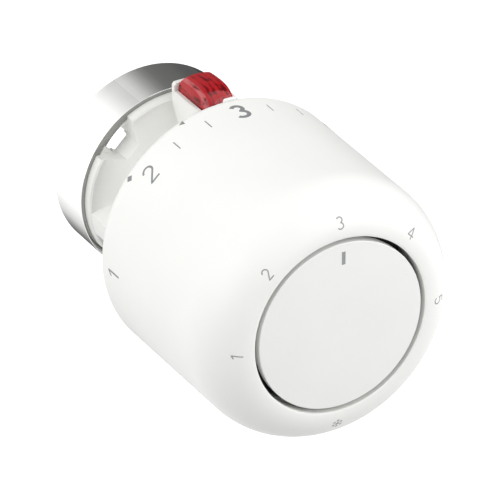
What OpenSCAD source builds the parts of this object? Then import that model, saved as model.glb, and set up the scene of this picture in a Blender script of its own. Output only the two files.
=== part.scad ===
// Thermostatic radiator valve head: a round setting knob on a push-on base with a polished
// locking collar, a red release button, and a liquid-filled sensor that the knob moves.
// Origin: centre of the valve-neck bore, in the collar's rear plane. +Z is up, the front is -Y.
// Every sub-part is drawn standing on its axis, with z forward from that plane, and laid down
// by facing(), so x is to the right and y is up as the head is seen from its front.

/* [Knob] */
// Outer radius of the knob
knob_r = 25; // [24.6:0.1:27]
// Length of the knob from its rear edge to its front face
knob_length = 41.7; // [41:0.1:44]
// Wall of the knob's shell
knob_wall = 2.2; // [1.6:0.1:2.4]
// How far the opening in the knob's front clears the guide tube
dial_lip = 1.4; // [1.2:0.05:1.6]
// Room for the limit pins between the hub and the shell
pin_room = 3.1; // [2.9:0.1:3.5]
// Wall of the hub that grips the thread sleeve
hub_wall = 1.2; // [1:0.1:1.4]
// How far the front shoulder's curve reaches back
shoulder_depth = 9.5; // [7:0.5:12]
// How far the rear edge's bevel cuts into the radius
rear_bevel_r = 1; // [0.4:0.1:1.4]
// Length of the rear edge's bevel
rear_bevel_l = 1.7; // [0.8:0.1:2.5]
// Number of ribs between the shell and its hub
knob_ribs = 8; // [4:1:12]
// Thickness of a rib
knob_rib_t = 1.2; // [0.8:0.1:1.6]
// Angle from the middle setting to the closed stop
closing_angle = 180; // [170:1:190]
// Angle from the middle setting to the open stop
opening_angle = 92; // [80:1:100]

/* [Thread] */
// Advance of the sensor in one turn of the knob
thread_lead = 6.4; // [5.6:0.1:6.8]
// Width of the thread's groove along the axis
groove_w = 1.9; // [1.8:0.05:2.1]
// Depth of the groove
groove_depth = 1.25; // [0.9:0.05:1.4]
// Wall of the thread sleeve
sleeve_wall = 2.55; // [2.3:0.05:2.8]
// Width of a follower lug across the axis
lug_w = 5; // [4:0.1:5.4]

/* [Collar and base] */
// Height of the locking collar along the axis
collar_h = 9.7; // [9:0.1:11]
// Outer radius of the locking collar
collar_r = 18.43; // [18.2:0.01:19]
// Wall of the locking collar
collar_wall = 1.33; // [1.1:0.01:1.5]
// Radius of the bore that goes over the valve's neck
neck_bore_r = 11.6; // [11.2:0.1:11.9]
// Wall of the socket round that bore
socket_wall = 1.4; // [1.2:0.1:1.6]
// Depth of the bore
neck_bore_l = 8.5; // [8:0.1:9]
// Length of the bore's unbroken ring at its mouth
mouth_ring_l = 3.3; // [2.8:0.1:3.4]
// How much wider the bore is behind that ring
bore_relief = 0.3; // [0.2:0.05:0.5]
// Radius of the flange in front of the collar
flange_r = 17.65; // [17.4:0.05:18]
// Thickness of the flange
flange_t = 2.1; // [1.6:0.1:2.6]
// Outer radius of the neck behind the knob
neck_r = 13; // [12.6:0.1:13.4]
// Wall of the neck
neck_wall = 1.8; // [1.4:0.1:2]
// Radius where the neck's foot meets the flange
neck_foot_r = 17.1; // [16:0.1:17.2]
// Length of the neck's flared foot
neck_foot_l = 3.2; // [2:0.1:3.6]
// Distance from both middle planes to the flange's corner notches
notch_offset = 8.9; // [8.4:0.1:9.6]
// Half width of a corner window
window_half_w = 2.2; // [1.8:0.1:2.4]
// Distance from the axis to a window's inner edge
window_r = 14.2; // [14:0.1:15]
// Cut at a window's inner corners
window_cut = 0.6; // [0.3:0.1:0.9]
// Gap behind the knob, from the flange's front face to the knob's rear edge
finger_gap = 15.8; // [15.6:0.1:18]
// Depth of the end stops beyond the bearing plate that the knob turns against
stop_depth = 1.9; // [1.5:0.1:2.1]
// Gap between the end stops and the knob's shell
stop_gap = 0.9; // [0.7:0.1:1.2]
// Thickness of the bearing plate
bearing_t = 2.4; // [2:0.1:2.8]

/* [Side lug] */
// Height of the side lug's top above the axis
lug_top = 0.7; // [0:0.1:1.5]
// Depth of the side lug's underside below the axis
lug_bottom = 5.4; // [4.5:0.1:6]
// Fall of the side lug's top towards its outer side
lug_slope = 2.2; // [1:0.1:2.5]

/* [Release button] */
// Place of the button housing's left side
housing_left = -1; // [-1.5:0.1:0]
// Width of the housing
housing_w = 8.5; // [8:0.1:9]
// Wall of the housing
housing_wall = 0.7; // [0.6:0.05:0.9]
// Height of the housing's side walls above the axis
housing_side_top = 19.5; // [19:0.1:20]
// Height of the housing's end walls above the axis
housing_end_top = 21; // [20.6:0.1:21.4]
// Thickness of the housing's rear wall
housing_rear_t = 0.9; // [0.7:0.1:1.2]
// Height of the button's crown above the axis
button_crown = 22.1; // [21.6:0.1:22.4]
// Fall of the crown towards the button's two ends
button_fall = 1.5; // [0.8:0.1:1.8]
// Height of the button's left edge above the axis
button_edge = 19.6; // [19.2:0.1:20]
// Travel of the button
button_travel = 1.6; // [1.2:0.1:1.7]
// Wire radius of the clamp spring
clamp_wire_r = 0.7; // [0.5:0.05:0.75]
// How far the clamp spring's legs reach into the bore
clamp_bite = 0.4; // [0.2:0.05:0.6]
// Wire radius of the button's spring
button_wire_r = 0.25; // [0.2:0.05:0.3]

/* [Guide tube and cap] */
// Wall of the guide tube
tube_wall = 1.4; // [1.2:0.1:1.5]
// Gap round the front cap in the knob's opening
cap_gap = 0.85; // [0.6:0.05:1.1]
// Thickness of the front cap
cap_t = 1.95; // [1.5:0.05:2.3]
// Depth of the front cap's skirt
cap_skirt_l = 4.7; // [3.6:0.1:4.9]
// Thickness of the retaining ring
ring_t = 1; // [0.8:0.1:1.2]

/* [Sensor] */
// Room for the overload spring in front of the can
overload_room = 5.1; // [4.9:0.1:5.6]
// Wall of the sensor's can
can_wall = 0.5; // [0.4:0.05:0.7]
// Outer radius of the bellows
bellows_r = 9; // [8:0.1:9.6]
// Depth of a bellows fold
bellows_fold = 3.2; // [2.5:0.1:3.4]
// Number of bellows folds
bellows_folds = 7; // [5:1:8]
// Wall of the bellows
bellows_wall = 0.35; // [0.3:0.05:0.4]
// Radius of the push rod
rod_r = 2; // [1.6:0.1:2.4]
// Radius of the plunger's shaft
plunger_r = 4.5; // [4:0.1:5]
// Wire radius of the return spring
return_wire_r = 0.55; // [0.45:0.05:0.65]
// Turns of the return spring
return_turns = 5; // [4:1:6]
// Wire radius of the overload spring
overload_wire_r = 0.65; // [0.5:0.05:0.7]
// Turns of the overload spring
overload_turns = 2; // [1.5:0.5:2]

/* [Fits] */
// Gap round pieces that slide
run_gap = 0.3; // [0.25:0.05:0.35]
// Gap round the guide tube where the knob's sleeve turns on it
turn_gap = 0.25; // [0.2:0.05:0.3]
// Gap round pieces that are pressed or clipped together
seat_gap = 0.1; // [0.05:0.05:0.15]

/* [Hidden] */
$fn = 96;
eps = 0.01;
past = 1;

// Places along the axis, forward from the collar's rear plane
flange_z = collar_h + flange_t;
knob_rear_z = flange_z + finger_gap;
front_z = knob_rear_z + knob_length;
floor_z = collar_h - 1.2;
bearing_rear_z = knob_rear_z + 0.6;
bearing_front_z = bearing_rear_z + bearing_t;

// Radii that follow from a fit
collar_inner_r = collar_r - collar_wall;
seat_r = collar_inner_r - seat_gap;
socket_r = neck_bore_r + socket_wall;
chamber_r = neck_r - neck_wall;
notch_r = window_r + 0.25;

// Knob: hub, thread sleeve, guide tube and end stops, from the shell inwards
knob_inner_r = knob_r - knob_wall;
hub_r = knob_inner_r - pin_room;
hub_inner_r = hub_r - hub_wall;
hub_stop = 1.2;
lip_t = 2.7;
sleeve_r = hub_inner_r - seat_gap;
sleeve_inner_r = sleeve_r - sleeve_wall;
sleeve_rear_z = bearing_front_z + run_gap + seat_gap;
sleeve_setback = 7.3;
sleeve_front_z = front_z - sleeve_setback;
sleeve_flange_t = 2;
sleeve_flange_r = knob_inner_r - 0.5;
tube_r = sleeve_inner_r - turn_gap;
tube_inner_r = tube_r - tube_wall;
dial_opening_r = tube_r + dial_lip;
cap_r = dial_opening_r - cap_gap;
stop_r = knob_inner_r - stop_gap;
bearing_r = stop_r - stop_depth;
stop_rib_half = 6;
stop_half = (360 - closing_angle - opening_angle) / 2 - stop_rib_half - 0.3;
stop_centre = 270;
stop_rib_angle = stop_centre - opening_angle - stop_half - stop_rib_half - 0.3;
pin_r = 0.8;
pin_l = 5;
pin_hole_gap = 0.05;
pin_step = 15.5;
pin_middle = 74.5;
pin_circle_r = (hub_r + sleeve_flange_r) / 2 + 0.1;
pin_rear_z = sleeve_rear_z - 0.1;

// Thread: two grooves, one for each follower lug
advance = thread_lead / 360;
groove_r = sleeve_inner_r + groove_depth;
lug_t = groove_w - 2 * run_gap - 0.1;
lug_place = 14;
lug_z = sleeve_rear_z + lug_place;
lug_r = groove_r - turn_gap;

// Guide tube and cap
tube_rear_z = bearing_front_z - 1.3;
tube_front_z = front_z - cap_t - 0.15;
ring_z = sleeve_front_z + run_gap;
ring_proud = 1.2;
ring_r = tube_r + ring_proud;
ring_groove = 0.6;
skirt_wall = 1.35;

// Sensor carrier and what it holds
carrier_wall = 0.9;
carrier_r = tube_inner_r - run_gap;
carrier_inner_r = carrier_r - carrier_wall;
carrier_tail = 9;
carrier_rear_z = lug_z - carrier_tail;
carrier_end_gap = 0.6;
carrier_front_z = front_z - cap_t - cap_skirt_l - opening_angle * advance - carrier_end_gap;
carrier_floor_t = 1.2;
plate_z = carrier_rear_z + carrier_floor_t + seat_gap;
plate_t = 0.8;
can_r = carrier_inner_r - 2 * seat_gap;
can_rear_z = plate_z + plate_t;
retainer_t = 1;
retainer_bore_r = 6;
retainer_z = carrier_front_z - retainer_t - 0.2;
can_front_z = retainer_z - overload_room;
can_corner = 1.5;
port_r = bellows_r - bellows_fold - bellows_wall - 0.1;
bellows_room = 4;
bellows_l = can_front_z - can_rear_z - bellows_room;
bellows_end_z = can_rear_z + bellows_l;
bellows_end_t = 0.6;
overload_r = 9;

// Plunger, push rod and return spring
plunger_rear_z = neck_bore_l - 1.5;
plate_front_z = bearing_rear_z - 1.4;
spring_plate_t = 1;
spring_plate_z = plate_front_z - spring_plate_t;
plunger_collar_t = 1.4;
rod_rear_z = plate_front_z + plunger_collar_t - 2;
return_r = 8.4;

// Socket: clamp spring and release wedge
clamp_z = mouth_ring_l + 0.6 + clamp_wire_r;
clamp_ring_r = socket_r + clamp_wire_r + seat_gap;
clamp_leg_x = neck_bore_r - clamp_bite + clamp_wire_r;
clamp_leg_y = sqrt(pow(clamp_ring_r, 2) - pow(clamp_leg_x, 2));
clamp_leg_angle = atan2(clamp_leg_y, clamp_leg_x);
clamp_gap_half = 10;
clamp_tip_l = 1.5;
block_x = clamp_leg_x + clamp_wire_r + 0.6;
block_y = clamp_ring_r + clamp_wire_r + 0.5;

// Release button and its housing
housing_right = housing_left + housing_w;
housing_mid = (housing_left + housing_right) / 2;
button_gap = 0.2;
button_left = housing_left + housing_wall + button_gap;
button_right = housing_right - housing_wall - button_gap;
button_rear_z = flange_z + housing_rear_t + button_gap;
front_wall_z = knob_rear_z - 1.4;
button_front_z = front_wall_z - run_gap;
button_under = 15.2;
button_round = 1.4;
spring_z = (button_rear_z + button_front_z) / 2;
spring_r = 1.5;
spring_foot = neck_r + 0.2;
spring_pocket_top = button_under + 2.4;
arm_w = 2.6;
arm_t = 1.5;
arm_room = 1.0;
arm_end_t = arm_t - 0.3;
arm_under = collar_inner_r - arm_room - arm_end_t;
arm_gap = 0.3;
wedge_t = 2;

// Setting pointer
pointer_left = 1.1;
pointer_w = 2.8;
pointer_t = 1;
pointer_corner = 0.6;
pointer_top = knob_r - 1;
pointer_foot = housing_end_top - 4;
pointer_z = knob_rear_z - run_gap - pointer_t;

// Lays a piece that stands on its axis down, so that its front looks along -Y.
module facing() {
    rotate([90, 0, 0])
        children();
}

// A tube between two places along the axis.
module tube(outer_r, inner_r, z0, z1) {
    translate([0, 0, z0])
        difference() {
            cylinder(r = outer_r, h = z1 - z0);
            translate([0, 0, -past])
                cylinder(r = inner_r, h = z1 - z0 + 2 * past);
        }
}

// A box given by its two corners.
module block(low, high) {
    translate(low)
        cube(high - low);
}

// A sector of a tube, centred on an angle.
module arc_block(outer_r, inner_r, z0, z1, middle, half) {
    rotate([0, 0, middle - half])
        translate([0, 0, z0])
            rotate_extrude(angle = 2 * half)
                translate([inner_r, 0])
                    square([outer_r - inner_r, z1 - z0]);
}

// Points on one ring of a helical bar whose section is given as [radius, height] pairs.
function helix_ring(section, turn, rise) =
    [for (p = section) [p[0] * cos(turn), p[0] * sin(turn), p[1] + rise]];

function helix_points(section, angle, rise, rings) =
    [for (i = [0:rings]) each helix_ring(section, angle * i / rings, rise * i / rings)];

function helix_faces(sides, rings) = concat(
    [[for (j = [sides - 1:-1:0]) j]],
    [for (i = [0:rings - 1]) for (j = [0:sides - 1]) each
        let (k = (j + 1) % sides, a = i * sides, b = a + sides)
            [[a + j, a + k, b + k], [a + j, b + k, b + j]]],
    [[for (j = [0:sides - 1]) rings * sides + j]]
);

module helix(section, angle, rise, rings) {
    polyhedron(
        points = helix_points(section, angle, rise, rings),
        faces = helix_faces(len(section), rings),
        convexity = 10
    );
}

// An open-coiled wire spring that stands on z = 0.
spring_sides = 6;
spring_rings = 10;
module coil(mean_r, wire_r, length, turns) {
    section = [for (j = [0:spring_sides - 1])
        [mean_r - wire_r * cos(360 * j / spring_sides), wire_r * sin(360 * j / spring_sides) + wire_r]];
    echo(spring_gap_mm = (length - 2 * wire_r) / turns - 2 * wire_r);
    helix(section, 360 * turns, length - 2 * wire_r, spring_rings * turns);
}

// Flared foot of the neck, from the flange inwards.
function neck_foot(steps) = [for (i = [0:steps])
    [neck_foot_r - (neck_foot_r - neck_r) * i / steps, flange_z + neck_foot_l * pow(i / steps, 1.4)]];

// Moulded base: collar seat, flange with corner notches, neck, button housing and bearing plate.
module base_profile() {
    polygon([
        [neck_bore_r, 0],
        [socket_r, 0],
        [socket_r, floor_z],
        [seat_r, floor_z],
        [seat_r, collar_h],
        [flange_r, collar_h],
        [flange_r, flange_z - 0.3],
        [flange_r - 0.3, flange_z],
        each neck_foot(5),
        [neck_r, bearing_rear_z],
        [bearing_r, bearing_rear_z],
        [bearing_r, bearing_front_z],
        [chamber_r, bearing_front_z],
        [chamber_r, flange_z],
        [plunger_r + 0.25, flange_z],
        [plunger_r + 0.25, neck_bore_l],
        [neck_bore_r + bore_relief, neck_bore_l],
        [neck_bore_r + bore_relief, mouth_ring_l],
        [neck_bore_r, mouth_ring_l]
    ]);
}

module window_cutter() {
    half = window_half_w + 0.6;
    shelf_t = 0.5;
    translate([0, 0, mouth_ring_l])
        intersection() {
            block([neck_bore_r - 3, -half, 0], [seat_r, half, collar_h - shelf_t - mouth_ring_l]);
            cylinder(r = notch_r + 0.1, h = collar_h);
        }
}

module window_floor() {
    linear_extrude(height = flange_z)
        polygon([
            [window_r, -window_half_w + window_cut],
            [window_r, window_half_w - window_cut],
            [window_r + window_cut, window_half_w],
            [seat_r + past, window_half_w],
            [seat_r + past, -window_half_w],
            [window_r + window_cut, -window_half_w]
        ]);
}

module corner_notches() {
    for (quarter = [0:3]) {
        rotate([0, 0, 90 * quarter])
            difference() {
                block([notch_offset, notch_offset, collar_h], [flange_r, flange_r, flange_z + neck_foot_l]);
                cylinder(r = notch_r, h = bearing_rear_z);
            }
        rotate([0, 0, 90 * quarter + 45])
            translate([0, 0, floor_z - past])
                window_floor();
        rotate([0, 0, 90 * quarter + 45])
            window_cutter();
    }
}

module clamp_slots() {
    for (side = [-1, 1])
        translate([side * clamp_leg_x, 0, clamp_z])
            cube([2 * clamp_wire_r + 0.6, 2 * clamp_leg_y + 2, 2 * clamp_wire_r + 0.5], center = true);
}

module collar_seats() {
    intersection() {
        tube(seat_r, socket_r - eps, 0.6, floor_z + eps);
        union() {
            for (side = [-1, 1])
                scale([side, 1, 1])
                    block([block_x, -notch_offset + 1.5, 0], [seat_r, notch_offset - 1.5, collar_h]);
            block([-notch_offset + 2, -seat_r, 0], [notch_offset - 2, -block_y, collar_h]);
        }
    }
}

module housing_outline(foot) {
    polygon([
        [housing_left, foot],
        [housing_right, foot],
        [housing_right, housing_side_top],
        [housing_right - 1, housing_side_top + 0.6],
        [housing_right - 2.6, housing_end_top],
        [housing_left + 0.4, housing_end_top],
        [housing_left, housing_end_top - 0.4]
    ]);
}

module housing() {
    side_foot = chamber_r - 2;
    difference() {
        union() {
            block([housing_left, side_foot, flange_z - eps],
                [housing_left + housing_wall, housing_side_top, front_wall_z + eps]);
            block([housing_right - housing_wall, side_foot, flange_z - eps],
                [housing_right, housing_side_top, front_wall_z + eps]);
            translate([0, 0, flange_z - eps])
                linear_extrude(height = housing_rear_t + eps)
                    housing_outline(side_foot);
            translate([0, 0, front_wall_z])
                linear_extrude(height = bearing_rear_z - front_wall_z + eps)
                    housing_outline(side_foot);
        }
        cylinder(r = chamber_r + neck_wall / 2, h = bearing_front_z);
    }
    intersection() {
        translate([housing_mid, neck_r - 2, spring_z])
            rotate([-90, 0, 0])
                cylinder(r = spring_r + 1, h = spring_foot - neck_r + 2);
        block([housing_left, 0, flange_z], [housing_right, housing_end_top, front_wall_z]);
    }
}

// Lug that stiffens the neck's left side, with the pocket under it.
module side_lug() {
    lug_outer = flange_r - 0.05;
    translate([0, 0, flange_z - eps])
        linear_extrude(height = bearing_rear_z - flange_z + 2 * eps)
            intersection() {
                circle(r = lug_outer);
                polygon([
                    [-flange_r, -lug_bottom],
                    [1 - neck_r, -lug_bottom],
                    [1 - neck_r, lug_top],
                    [-neck_r - 1.3, lug_top],
                    [-flange_r, lug_top - lug_slope]
                ]);
            }
}

module lug_pocket() {
    pocket_half = 6;
    pocket_rim = 0.75;
    start = 180 + asin(lug_bottom / (flange_r - 1));
    arc_block(flange_r - pocket_rim, notch_r, collar_h, flange_z + past, start + pocket_half, pocket_half);
}

module arm_slot() {
    block([housing_mid - arm_w / 2 - arm_gap, arm_under - button_travel - arm_gap, floor_z - past],
        [housing_mid + arm_w / 2 + arm_gap, arm_under + arm_t + arm_gap, button_rear_z + arm_t + arm_gap]);
}

// Clears the flared foot from the floor of the button's housing.
module housing_floor() {
    block([housing_left + housing_wall, neck_r + seat_gap, flange_z + housing_rear_t],
        [housing_right - housing_wall, neck_foot_r + past, flange_z + neck_foot_l + past]);
}

module pointer_pocket() {
    block([pointer_left - seat_gap / 2, pointer_foot, pointer_z - seat_gap / 2],
        [pointer_left + pointer_w + seat_gap / 2, housing_end_top + past, pointer_z + pointer_t + seat_gap / 2]);
}

module base_body() {
    color([0.93, 0.93, 0.91])
        facing() {
            difference() {
                union() {
                    rotate_extrude()
                        base_profile();
                    housing();
                    side_lug();
                    collar_seats();
                    arc_block(stop_r, bearing_r - 0.5, bearing_rear_z + 0.2, bearing_front_z - 0.2,
                        stop_centre, stop_half);
                }
                corner_notches();
                clamp_slots();
                lug_pocket();
                arm_slot();
                housing_floor();
                pointer_pocket();
                tube(tube_r + seat_gap, tube_inner_r - seat_gap, tube_rear_z - seat_gap, bearing_front_z + past);
            }
        }
}

// Polished ring that slips over the base behind the flange.
module locking_collar() {
    edge = 0.35;
    color([0.78, 0.79, 0.8])
        facing()
            rotate_extrude()
                polygon([
                    [collar_inner_r + 0.15, 0],
                    [collar_r - edge, 0],
                    [collar_r - edge * 0.3, edge * 0.3],
                    [collar_r, edge],
                    [collar_r, collar_h - edge],
                    [collar_r - edge * 0.3, collar_h - edge * 0.3],
                    [collar_r - edge, collar_h],
                    [collar_inner_r + 0.15, collar_h],
                    [collar_inner_r, collar_h - 0.15],
                    [collar_inner_r, 0.15]
                ]);
}

// Bent wire clip: two straight legs grip the valve neck's groove, two tips take the wedge.
function arc_points(radius, from, to, steps) =
    [for (i = [0:steps]) let (t = from + (to - from) * i / steps) radius * [cos(t), sin(t)]];

function wire_heading(path, i) =
    let (last = len(path) - 1, a = path[max(i - 1, 0)], b = path[min(i + 1, last)])
        (b - a) / norm(b - a);

module wire(path, wire_r, sides) {
    last = len(path) - 1;
    polyhedron(
        points = [for (i = [0:last]) let (d = wire_heading(path, i)) for (j = [0:sides - 1])
            let (out = wire_r * cos(360 * j / sides), lift = wire_r * sin(360 * j / sides))
                [path[i][0] + out * d[1], path[i][1] - out * d[0], lift]],
        faces = helix_faces(sides, last),
        convexity = 10
    );
}

module clamp_spring() {
    tip_angle = acos(housing_mid / clamp_ring_r);
    left_tip = clamp_ring_r * [cos(tip_angle + clamp_gap_half), sin(tip_angle + clamp_gap_half)];
    right_tip = clamp_ring_r * [cos(tip_angle - clamp_gap_half), sin(tip_angle - clamp_gap_half)];
    path = concat(
        [left_tip + [-0.2, clamp_tip_l]],
        arc_points(clamp_ring_r, tip_angle + clamp_gap_half + 2, 180 - clamp_leg_angle, 8),
        arc_points(clamp_ring_r, 180 + clamp_leg_angle, 360 - clamp_leg_angle, 16),
        arc_points(clamp_ring_r, 360 + clamp_leg_angle, 360 + tip_angle - clamp_gap_half - 2, 5),
        [right_tip + [0.2, clamp_tip_l]]
    );
    color([0.7, 0.7, 0.72])
        facing()
            translate([0, 0, clamp_z])
                wire(path, clamp_wire_r, 8);
}

// Fixed tube on which the knob turns and in which the sensor slides.
module guide_tube() {
    slot_low = lug_z - lug_t / 2 - closing_angle * advance - 0.45;
    slot_high = lug_z + lug_t / 2 + opening_angle * advance + 0.45;
    slot_half = lug_w / 2 + run_gap;
    color([0.55, 0.57, 0.6])
        facing()
            difference() {
                tube(tube_r, tube_inner_r, tube_rear_z, tube_front_z);
                block([-tube_r - past, -slot_half, slot_low], [tube_r + past, slot_half, slot_high]);
                tube(tube_r + past, tube_r - ring_groove, ring_z - 0.05, ring_z + ring_t + 0.05);
            }
}

// Plain disc that closes the front and stays still while the knob turns.
module front_cap() {
    color([0.96, 0.96, 0.95])
        facing()
            rotate_extrude()
                polygon([
                    [0, front_z],
                    [cap_r - 0.55, front_z],
                    [cap_r - 0.2, front_z - 0.1],
                    [cap_r, front_z - 0.35],
                    [cap_r, front_z - cap_t],
                    [tube_inner_r - 0.15, front_z - cap_t],
                    [tube_inner_r - 0.15, front_z - cap_t - cap_skirt_l],
                    [tube_inner_r - 0.15 - skirt_wall, front_z - cap_t - cap_skirt_l],
                    [tube_inner_r - 0.15 - skirt_wall, front_z - cap_t],
                    [0, front_z - cap_t]
                ]);
}

// Spring-steel ring in the guide tube's groove, open at the bottom.
module retaining_ring() {
    opening = 12;
    color([0.62, 0.63, 0.65])
        facing()
            arc_block(ring_r, tube_r - ring_groove + 0.05, ring_z, ring_z + ring_t, 90, 180 - opening);
}

// Small tab behind the knob's rear edge that the setting is read against.
module setting_pointer() {
    pointer_right = pointer_left + pointer_w;
    foot = pointer_foot + seat_gap / 2;
    color([0.97, 0.97, 0.97])
        facing()
            intersection() {
                translate([pointer_right, 0, 0])
                    rotate([0, -90, 0])
                        linear_extrude(height = pointer_w)
                            polygon([
                                [pointer_z, foot],
                                [pointer_z + pointer_t, foot],
                                [pointer_z + pointer_t, pointer_top],
                                [pointer_z + 0.35, pointer_top],
                                [pointer_z, pointer_top - 0.5]
                            ]);
                translate([0, 0, pointer_z - past])
                    linear_extrude(height = pointer_t + 2 * past)
                        polygon([
                            [pointer_left - past, foot - past],
                            [pointer_right + past, foot - past],
                            [pointer_right + past, pointer_top - pointer_corner - past],
                            [pointer_right - pointer_corner - past, pointer_top + past],
                            [pointer_left - past, pointer_top + past]
                        ]);
            }
}

// Coil that lifts the release button.
module release_spring() {
    color([0.7, 0.7, 0.72])
        facing()
            translate([housing_mid, spring_foot + 0.05, spring_z])
                rotate([-90, 0, 0])
                    coil(spring_r, button_wire_r, spring_pocket_top - spring_foot - 0.1, 4);
}

// Coil that presses the plunger back from the valve.
module return_spring() {
    color([0.7, 0.7, 0.72])
        facing()
            translate([0, 0, flange_z + 0.1])
                coil(return_r, return_wire_r, spring_plate_z - flange_z - 0.2, return_turns);
}

// Outline of half the knob's section: bevelled rear edge, straight side, elliptical shoulder.
shoulder_steps = 20;
function shoulder(side_r, face_r, face_z, depth) = [for (i = [0:shoulder_steps])
    let (t = 90 * i / shoulder_steps)
        [face_r + (side_r - face_r) * cos(t), face_z - depth + depth * sin(t)]];

module knob_profile() {
    inner_face_z = front_z - lip_t;
    inner_face_r = dial_opening_r + 1.6;
    inner_shoulder = shoulder(knob_inner_r, inner_face_r, inner_face_z, shoulder_depth - lip_t);
    polygon(concat(
        [
            [knob_inner_r, knob_rear_z + 0.3],
            [knob_inner_r + 0.3, knob_rear_z],
            [knob_r - rear_bevel_r - 0.2, knob_rear_z],
            [knob_r - rear_bevel_r, knob_rear_z + 0.15],
            [knob_r - 0.15, knob_rear_z + rear_bevel_l - 0.35],
            [knob_r, knob_rear_z + rear_bevel_l]
        ],
        shoulder(knob_r, dial_opening_r + 0.3, front_z, shoulder_depth),
        [
            [dial_opening_r, front_z - 0.3],
            [dial_opening_r, inner_face_z]
        ],
        [for (i = [0:shoulder_steps]) inner_shoulder[shoulder_steps - i]]
    ));
}

// Hand-turned shell with a ribbed hub that holds the thread sleeve.
module knob_shell() {
    hub_rear_z = sleeve_rear_z + sleeve_flange_t + seat_gap;
    hub_front_z = sleeve_front_z + 1.5;
    rib_front_z = front_z - shoulder_depth + 1;
    color([0.95, 0.95, 0.93])
        facing() {
            rotate_extrude()
                knob_profile();
            difference() {
                tube(hub_r, hub_inner_r - hub_stop, hub_rear_z, hub_front_z);
                translate([0, 0, hub_rear_z - past])
                    cylinder(r = hub_inner_r, h = sleeve_front_z + seat_gap - hub_rear_z + past);
            }
            for (i = [0:knob_ribs - 1])
                rotate([0, 0, 360 * (i + 0.5) / knob_ribs])
                    block([hub_r - 0.3, -knob_rib_t / 2, hub_rear_z],
                        [knob_inner_r + 0.3, knob_rib_t / 2, rib_front_z]);
        }
}

// Sleeve pressed into the knob, with a two-start inner groove that moves the sensor.
module thread_groove() {
    translate([0, 0, lug_z - closing_angle * advance - groove_w])
        cylinder(r = groove_r, h = (closing_angle + opening_angle) * advance + 2 * groove_w);
}

module thread_sleeve() {
    color([0.45, 0.47, 0.5])
        facing()
            difference() {
                union() {
                    tube(sleeve_r, sleeve_inner_r, sleeve_rear_z, sleeve_front_z);
                    tube(sleeve_flange_r, sleeve_r - 0.5, sleeve_rear_z, sleeve_rear_z + sleeve_flange_t);
                    arc_block(sleeve_flange_r - 0.2, bearing_r + 0.4, bearing_rear_z + 0.3, sleeve_rear_z + 0.5,
                        stop_rib_angle, stop_rib_half);
                }
                thread_groove();
                for (i = [-3:3])
                    rotate([0, 0, pin_middle + i * pin_step])
                        translate([pin_circle_r, 0, sleeve_rear_z - past])
                            cylinder(r = pin_r + pin_hole_gap, h = sleeve_flange_t + 2 * past, $fn = 24);
            }
}

// Two small pins parked in the flange, which limit the knob's turn when they are moved.
module limit_pins() {
    color([0.2, 0.3, 0.6])
        facing()
            for (i = [-3, 3])
                rotate([0, 0, pin_middle + i * pin_step])
                    translate([pin_circle_r, 0, pin_rear_z])
                        cylinder(r = pin_r, h = pin_l, $fn = 24);
}

// Cup that slides in the guide tube and holds the sensor, with two thread followers.
module sensor_carrier() {
    color([0.6, 0.62, 0.64])
        facing()
            difference() {
                union() {
                    tube(carrier_r, carrier_inner_r, carrier_rear_z, carrier_front_z);
                    tube(carrier_r - 0.2, port_r, carrier_rear_z, carrier_rear_z + carrier_floor_t);
                    intersection() {
                        tube(lug_r, carrier_inner_r + 0.2, lug_z - lug_t / 2, lug_z + lug_t / 2);
                        block([-lug_r, -lug_w / 2, carrier_rear_z], [lug_r, lug_w / 2, carrier_front_z]);
                    }
                }
                tube(carrier_inner_r + 0.3, carrier_inner_r - past, retainer_z - 0.05,
                    retainer_z + retainer_t + 0.05);
            }
}

// Drawn metal can filled with liquid.
module sensor_can() {
    color([0.8, 0.8, 0.82])
        facing()
            rotate_extrude()
                polygon([
                    [can_r - can_wall, can_rear_z],
                    [can_r, can_rear_z],
                    [can_r, can_front_z - can_corner],
                    [can_r - can_corner * 0.3, can_front_z - can_corner * 0.3],
                    [can_r - can_corner, can_front_z],
                    [1.2, can_front_z],
                    [1.2, can_front_z - can_wall],
                    [can_r - can_corner, can_front_z - can_wall],
                    [can_r - can_corner * 0.3 - can_wall, can_front_z - can_corner * 0.3 - can_wall / 2],
                    [can_r - can_wall, can_front_z - can_corner]
                ]);
}

// Ring plate that closes the can and carries the bellows.
module can_end_plate() {
    color([0.72, 0.72, 0.74])
        facing()
            tube(can_r, port_r, plate_z, can_rear_z);
}

// Folded metal bellows inside the can, closed at its front end.
function fold_r(i, inset) = bellows_r - inset - bellows_fold * (1 - cos(360 * bellows_folds * i)) / 2;
fold_steps = 8 * bellows_folds;
module bellows() {
    color([0.75, 0.7, 0.55])
        facing()
            rotate_extrude()
                polygon(concat(
                    [for (i = [0:fold_steps])
                        [fold_r(i / fold_steps, 0), can_rear_z + bellows_l * i / fold_steps]],
                    [
                        [bellows_r, bellows_end_z + bellows_end_t],
                        [0, bellows_end_z + bellows_end_t],
                        [0, bellows_end_z]
                    ],
                    [for (i = [fold_steps:-1:0])
                        [fold_r(i / fold_steps, bellows_wall), can_rear_z + bellows_l * i / fold_steps]]
                ));
}

// Pinched stub through which the can was filled.
module filling_tube() {
    color([0.72, 0.5, 0.35])
        facing() {
            translate([0, 0, can_front_z - can_wall])
                cylinder(r = 1.1, h = 1.9, $fn = 32);
            translate([-1.3, -0.3, can_front_z - can_wall + 1.8])
                cube([2.6, 0.6, 1.4]);
        }
}

// Coil that gives way when the valve is already closed.
module overload_spring() {
    color([0.7, 0.7, 0.72])
        facing()
            translate([0, 0, can_front_z + 0.1])
                coil(overload_r, overload_wire_r, retainer_z - can_front_z - 0.2, overload_turns);
}

// Ring clipped into the carrier's mouth, which the overload spring pushes against.
module spring_retainer() {
    color([0.5, 0.52, 0.55])
        facing()
            tube(carrier_inner_r + 0.2, retainer_bore_r, retainer_z, retainer_z + retainer_t);
}

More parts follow.
